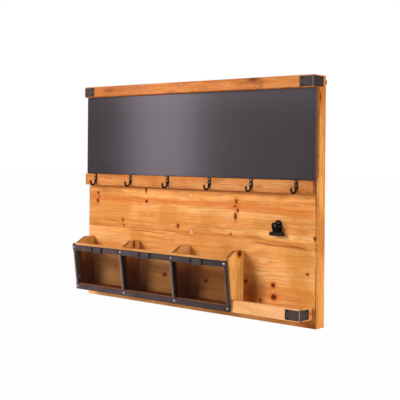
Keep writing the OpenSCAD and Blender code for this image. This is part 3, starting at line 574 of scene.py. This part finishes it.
# Streaks, in the same way: from one place to another, half width, strength and colour
STREAKS_MIDDLE = [
    (-400, -20, 180, -19, 12, 0.75, PINE_BAND), (120, -18, 400, -29, 17, 0.80, PINE_BAND),
    (-349, -75.5, -277.5, -85, 2.8, 0.75, PINE_DARK), (-277.5, -85, -230.5, -100, 2.2, 0.6, PINE_DARK),
    (-390, -96, -300, -98.5, 8, 0.5, PINE_DARK), (33.5, -87.5, 164.5, -98.5, 4.5, 0.65, PINE_DARK),
    (304, -57.5, 400, -56, 4.5, 0.5, PINE_DARK), (180, -94.5, 250.5, -99, 5, 0.7, PINE_DARK),
]
STREAKS_LOWER = [
    (-230.5, -102, -80.5, -107, 2.2, 0.85, PINE_DEEP), (-80.5, -107, 51.5, -102, 1.6, 0.6, PINE_DARK),
    (250.5, -101, 366.5, -113, 5, 0.8, PINE_DARK), (214, -107, 378, -116, 4, 0.8, PINE_DEEP),
    (-240, -115, -100, -120, 4, 0.4, PINE_DARK),
]

# Painted shade on the wood inside the letter box, and along the front edges of its boards
INNER_SHADE = ("shade", -230, -75, 84, 60, 0.95)
RIM_SHADE = (-277.5, -85, -146.5, -102.5, 6, 1.0, RIM_SHADE_COLOUR)
# The boards of the letter box are a little more golden than the planks
SIDE_TINT = (1.0, 1.16, 1.22)


def planks():
    return {
        "plank_upper": wood("pine_plank_upper", "x", 11, seam=True),
        "plank_middle": wood("pine_plank_middle", "x", 12, MARKS_MIDDLE, STREAKS_MIDDLE, seam=True,
                             bare=SIDE_BARE, dark_from=HOOK_RAIL_TOP + 0.002),
        "plank_lower": wood("pine_plank_lower", "x", 13, MARKS_LOWER, STREAKS_LOWER, seam=True,
                            bare=SIDE_BARE, lively=0.75),
    }


def battens_and_rails():
    return {
        "batten_left": wood("pine_batten_left", "zy", 21),
        "batten_middle": wood("pine_batten_middle", "zx", 22),
        "batten_right": wood("pine_batten_right", "zy", 23, [("knot", 247, -32, 13, 2.8, 0.9)],
                             tint=(1.06, 0.93, 0.74)),
        "top_rail": wood("pine_top_rail", "x", 31, MARKS_TOP_RAIL, tint=(0.83, 0.67, 0.55)),
        "hook_rail": wood("pine_hook_rail", "x", 32, MARKS_HOOK_RAIL, tint=(0.76, 0.64, 0.59)),
    }


def letter_box_wood():
    return {
        "box_side_left": wood("pine_side_left", "zy", 41, [INNER_SHADE], [RIM_SHADE], tint=SIDE_TINT),
        "divider_left": wood("pine_divider_left", "zy", 42, [INNER_SHADE, ("knot", -140, -67, 12, 3.8, 0.9)],
                             [RIM_SHADE], tint=SIDE_TINT),
        "divider_right": wood("pine_divider_right", "zy", 43,
                              [INNER_SHADE, ("pale", -137.5, -63, 10, 1.6, 0.8)], [RIM_SHADE], tint=SIDE_TINT),
        "box_side_right": wood("pine_side_right", "zy", 44, [("knot", -137, -61, 9.5, 8.5, 1.0)],
                               tint=SIDE_TINT),
        # Painted shade: the box floor is darkened by its shade mark and by its darker tint.
        "box_bottom": wood("pine_box_bottom", "xy", 45, [("shade", -105, -70, 450, 70, 1.0)],
                           tint=(0.6, 0.6, 0.6)),
        "lath_top": wood("pine_lath_top", "x", 46, tint=(1.0, 1.05, 1.25)),
        "lath_bottom": wood("pine_lath_bottom", "x", 47, tint=(0.46, 0.38, 0.34)),
    }


def ledge_wood():
    return {
        "ledge_rail": wood("pine_ledge_rail", "x", 51, lively=0.5, tint=(1.0, 1.04, 1.28)),
        # A darker patch on the end, where it meets the board
        "ledge_end": wood("pine_ledge_end", "y", 52, [("stain_and_painted_shade", -50, -264, 6, 12, 0.8)]),
        "ledge_bottom": wood("pine_ledge_bottom", "xy", 53),
    }


# The painted highlight on the left edge of each post: its middle and half width
POST_HIGHLIGHTS = ((-0.3865, 0.0022), (-0.1980, 0.0028), (-0.0090, 0.0022), (0.1740, 0.0016))

STRAP = metal("strap_steel", rgb(43, 31, 27), rgb(65, 49, 43), rough=(0.40, 0.54), metallic=0.35,
              scale=45, bump=0.15, flecks=0.30, fleck_colour=rgb(126, 104, 90), bend_highlight=0.8)
# A darker copy of the strap steel for the top straps: painted shade
TOP_STRAP_SHADED = metal("top_strap_steel_shaded", rgb(32, 23, 20), rgb(50, 37, 33), rough=(0.46, 0.60), metallic=0.30,
                  scale=45, bump=0.15, flecks=0.30, fleck_colour=rgb(104, 84, 72), specular=0.2, bend_highlight=0.7)
# The strips get painted shade, darker towards the right.
STEEL = metal("strip_steel", rgb(59, 45, 45), rgb(85, 67, 67), rough=(0.38, 0.52), metallic=0.45,
              scale=35, bump=0.15, flecks=0.30, fleck_colour=rgb(130, 112, 108), fade=0.55)
POST = metal("post_steel", rgb(44, 33, 34), rgb(66, 52, 52), rough=(0.32, 0.44), metallic=0.6,
             scale=50, bump=0.12, flecks=0.35, fleck_colour=rgb(160, 142, 132), highlight_bands=POST_HIGHLIGHTS)
BLACK = metal("black_iron", rgb(24, 17, 13), rgb(36, 27, 22), rough=(0.30, 0.42), metallic=0.9,
              scale=80, bump=0.10, flecks=0.2, fleck_colour=rgb(80, 66, 56), specular=0.1)
CLIP = metal("clip_black", rgb(14, 12, 12), rgb(22, 19, 19), rough=(0.24, 0.34), metallic=0.9,
             scale=80, bump=0.08, flecks=0.1, fleck_colour=rgb(60, 54, 52), specular=0.1)
HANGER = metal("hanger_black", rgb(16, 14, 14), rgb(26, 22, 22), rough=(0.55, 0.65), metallic=0.1,
               scale=80, bump=0.08, flecks=0.1, fleck_colour=rgb(60, 54, 52), specular=0.2)
WIRE = metal("mesh_wire", rgb(22, 15, 11), rgb(34, 24, 19), rough=(0.45, 0.60), metallic=0.3,
             scale=120, bump=0.05, specular=0.1)
NAIL = metal("nail_iron", rgb(14, 10, 9), rgb(24, 19, 17), rough=(0.30, 0.42), metallic=0.9,
             scale=200, bump=0.05, specular=0.1)
RIVET = metal("rivet_steel", rgb(104, 98, 98), rgb(150, 144, 144), rough=(0.20, 0.30), metallic=1.0,
              scale=200, bump=0.05)
BRIGHT = metal("bright_steel", rgb(130, 127, 127), rgb(166, 162, 162), rough=(0.22, 0.34), metallic=1.0,
               scale=150, bump=0.05)
SCREW = metal("screw_steel", rgb(104, 96, 88), rgb(150, 140, 130), rough=(0.24, 0.36), metallic=1.0,
              scale=150, bump=0.05)
DULL = metal("dull_steel", rgb(44, 41, 40), rgb(70, 66, 64), rough=(0.26, 0.36), metallic=1.0,
             scale=150, bump=0.05)

# Every node that is not wood, by its material
NOT_WOOD = (
    (STRAP, ("ledge_strap",)),
    (TOP_STRAP_SHADED, ("top_strap_left", "top_strap_right")),
    (STEEL, ("strip_top", "strip_bottom")),
    (POST, ("post_1", "post_2", "post_3", "post_4")),
    (BLACK, ("hook_1", "hook_2", "hook_3", "hook_4", "hook_5", "hook_6")),
    (CLIP, ("clip_back_plate", "clip_front_plate")),
    (holder("holder_iron"), ("label_holder_left", "label_holder_middle", "label_holder_right")),
    (BRIGHT, ("hanger_screws", "clip_pin", "clip_spring_back", "clip_spring_front")),
    (DULL, ("clip_screw",)),
    (HANGER, ("hanger_left", "hanger_right", "ring_left", "ring_right")),
    (SCREW, ("hook_screws",)),
    (NAIL, ("label_pins", "strap_nails")),
    (RIVET, ("front_nails",)),
    (slate("blackboard_slate"), ("blackboard",)),
    (WIRE, ("mesh_left", "mesh_middle", "mesh_right")),
)
MATERIALS = {**planks(), **battens_and_rails(), **letter_box_wood(), **ledge_wood()}
for material, names in NOT_WOOD:
    for name in names:
        MATERIALS[name] = material


def set_material(obj, material):
    obj.data.materials.clear()
    obj.data.materials.append(material)


for name, obj in nodes.items():
    set_material(obj, MATERIALS[name])


# Pieces with rounded edges

# How wide the edges are rounded, in how many steps, from which angle on, and on which nodes
ROUNDED = (
    (0.0005, 1, 30, ("plank_upper", "plank_middle", "plank_lower")),
    (0.0005, 1, 30, ("batten_left", "batten_right", "batten_middle", "top_rail", "hook_rail")),
    (0.0010, 2, 30, ("box_side_left", "divider_left", "divider_right", "box_side_right")),
    (0.0010, 2, 30, ("ledge_rail", "ledge_end", "ledge_bottom", "box_bottom")),
    (0.0003, 1, 30, ("lath_top", "lath_bottom")),
    (0.0006, 2, 30, ("blackboard",)),
    (0.00035, 2, 35, ("top_strap_left", "top_strap_right", "ledge_strap", "strip_top", "strip_bottom")),
    (0.0003, 2, 35, ("post_1", "post_2", "post_3", "post_4")),
)
SAME_PLACE = 0.00001
FLAT_ANGLE = 1.0


def dress(name, width, steps, angle):
    """A copy of a CAD node with its edges rounded, shown in its place."""
    mesh = nodes[name].data.copy()
    mesh.name = name + "_piece"
    obj = bpy.data.objects.new(name + "_piece", mesh)
    scene.collection.objects.link(obj)
    bm = bmesh.new()
    bm.from_mesh(mesh)
    bmesh.ops.remove_doubles(bm, verts=bm.verts, dist=SAME_PLACE)
    bmesh.ops.dissolve_limit(bm, angle_limit=math.radians(FLAT_ANGLE), verts=bm.verts, edges=bm.edges)
    sharp = [e for e in bm.edges if len(e.link_faces) == 2 and e.calc_face_angle(0) > math.radians(angle)]
    bmesh.ops.bevel(bm, geom=sharp, offset=width, offset_type="OFFSET", segments=steps, profile=0.5,
                    affect="EDGES", clamp_overlap=True)
    for face in bm.faces:
        face.smooth = True
    bm.to_mesh(mesh)
    bm.free()
    if "sharp_face" in mesh.attributes:
        mesh.attributes.remove(mesh.attributes["sharp_face"])
    obj.modifiers.new("weighted", "WEIGHTED_NORMAL").keep_sharp = False
    set_material(obj, MATERIALS[name])
    body = next(b for b, members in frame["record"]["behaviour"]["bodies"].items() if name in members)
    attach(obj, body)
    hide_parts(name)


for width, steps, angle, names in ROUNDED:
    for name in names:
        dress(name, width, steps, angle)


# Woven mesh

WIRE_R = 0.00028
WIRE_PITCH = 0.0024
# How far a wire swings to each side of the weave's middle, as a share of its radius
WIRE_SWING = 0.9
# The folded-over edge of a panel: how many cells wide, and how many parts each cell has there
HEM_CELLS = 3
HEM_PARTS = 4


def wires(rows, r):
    """Four-sided wires through the given rows of points."""
    verts, faces = [], []
    for row in rows:
        points = [Vector(p) for p in row]
        start = len(verts)
        for i, p in enumerate(points):
            heading = (points[min(i + 1, len(points) - 1)] - points[max(i - 1, 0)]).normalized()
            side = heading.cross(Vector((0, 1, 0))).normalized()
            out = side.cross(heading).normalized()
            verts += [p + side * r, p + out * r, p - side * r, p - out * r]
        for i in range(len(points) - 1):
            for k in range(4):
                a = start + 4 * i + k
                b = start + 4 * i + (k + 1) % 4
                faces.append((a, b, b + 4, a + 4))
        last = start + 4 * (len(points) - 1)
        faces.append((start + 3, start + 2, start + 1, start))
        faces.append((last, last + 1, last + 2, last + 3))
    return verts, faces


def even_steps(low, high, count):
    return [low + (high - low) * i / count for i in range(count + 1)]


def weave(name):
    """Plain woven wire in the place of a CAD mesh panel, with its edges folded over beside the posts."""
    low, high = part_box(name)
    x0, x1 = low.x + WIRE_R, high.x - WIRE_R
    z0, z1 = STRIP_H - MESH_LAP + WIRE_R, STRIP_LOW + MESH_LAP - WIRE_R
    middle_y = -LATH_T - 2 * STRIP_T + MESH_BACK + MESH_T / 2
    columns = round((x1 - x0) / WIRE_PITCH)
    part = (x1 - x0) / columns / HEM_PARTS
    hem = [x0 + part * i for i in range(1, HEM_CELLS * HEM_PARTS) if i % HEM_PARTS]
    xs = sorted(even_steps(x0, x1, columns) + hem + [x0 + x1 - x for x in hem])
    zs = even_steps(z0, z1, round((z1 - z0) / WIRE_PITCH))

    def swing(i, j):
        return WIRE_R * WIRE_SWING * (1 if (i + j) % 2 else -1)

    rows = [[(x, middle_y + swing(i, j), z) for j, z in enumerate(zs)] for i, x in enumerate(xs)]
    rows += [[(x, middle_y - swing(i, j), z) for i, x in enumerate(xs)] for j, z in enumerate(zs)]
    verts, faces = wires(rows, WIRE_R)
    mesh = bpy.data.meshes.new(name + "_weave")
    mesh.from_pydata([FRAME @ v for v in verts], [], faces)
    obj = bpy.data.objects.new(name + "_weave", mesh)
    scene.collection.objects.link(obj)
    set_material(obj, WIRE)
    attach(obj, "board")
    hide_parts(name)


for name in ("mesh_left", "mesh_middle", "mesh_right"):
    weave(name)


# Floor, light and camera

FLOOR_HALF = 30
FLOOR_Z = -0.80

# Lamps: name, place, what it points at, width and height, power and colour. The strips are what
# the blackboard mirrors.
LAMPS = (
    ("strip_left", (-2.30, -2.33, 0.60), (-0.2, -0.05, 0.1), (0.38, 1.50), 19, (1.0, 0.87, 0.97)),
    ("strip_right", (-1.84, -2.62, 0.60), (0.1, -0.05, 0.1), (0.90, 1.50), 7.5, (1.0, 0.89, 0.97)),
    ("strip_high", (-2.00, -2.50, 1.15), (-0.1, -0.05, 0.1), (1.50, 1.50), 18, (1.0, 0.90, 0.97)),
    ("key", (-2.75, -3.72, 2.2), (0.0, -0.05, 0.0), (2.0, 1.5), 176, (1.0, 1.0, 1.0)),
    ("side", (3.2, -0.30, 0.4), (0.4, -0.03, 0.0), (1.2, 1.6), 60, (1.0, 1.0, 1.0)),
)
WORLD_LIGHT = 0.07

CAMERA_PLACE = (1.6594, -1.8699, 0.1161)
CAMERA_TURN = 41.724
CAMERA_ROLL = 0.493
CAMERA_LENS = 84.16
CAMERA_SHIFT = -0.1206


def lay_floor():
    h = FLOOR_HALF
    mesh = bpy.data.meshes.new("floor")
    corners = [(-h, -h, FLOOR_Z), (h, -h, FLOOR_Z), (h, h, FLOOR_Z), (-h, h, FLOOR_Z)]
    mesh.from_pydata(corners, [], [(0, 1, 2, 3)])
    floor = bpy.data.objects.new("floor", mesh)
    scene.collection.objects.link(floor)
    set_material(floor, white_floor("floor_white"))


def hang_lamp(name, place, target, size, power, colour):
    lamp = bpy.data.lights.new(name, "AREA")
    lamp.shape = "RECTANGLE"
    lamp.size, lamp.size_y = size
    lamp.energy = power
    lamp.color = colour
    obj = bpy.data.objects.new(name, lamp)
    scene.collection.objects.link(obj)
    obj.location = place
    obj.rotation_euler = (Vector(target) - Vector(place)).to_track_quat("-Z", "Y").to_euler()


def light_world():
    """Dim plain light all round, which the camera and mirror-like surfaces see as white."""
    world = bpy.data.worlds.new("studio")
    scene.world = world
    world.use_nodes = True
    g = Graph(world.node_tree)
    dim = g.tree.nodes["Background"]
    dim.inputs["Color"].default_value = (1, 1, 1, 1)
    dim.inputs["Strength"].default_value = WORLD_LIGHT
    white = g.node("ShaderNodeBackground", {"Color": (1, 1, 1, 1), "Strength": 1.0})
    g.blend_shaders(g.seen_ray(), dim, white, "World Output")


def set_camera():
    """The photograph's view: level, turned about the upright axis and rolled a little."""
    lens = bpy.data.cameras.new("camera")
    lens.sensor_width = 36
    lens.lens = CAMERA_LENS
    lens.shift_y = CAMERA_SHIFT
    lens.clip_end = 100
    camera = bpy.data.objects.new("camera", lens)
    scene.collection.objects.link(camera)
    camera.location = CAMERA_PLACE
    turn = Matrix.Rotation(math.radians(CAMERA_TURN), 3, "Z")
    level = Matrix.Rotation(math.radians(90), 3, "X")
    roll = Matrix.Rotation(math.radians(CAMERA_ROLL), 3, "Z")
    camera.rotation_euler = (turn @ level @ roll).to_euler()
    scene.camera = camera


lay_floor()
for lamp in LAMPS:
    hang_lamp(*lamp)
light_world()
set_camera()
scene.view_settings.view_transform = "Standard"
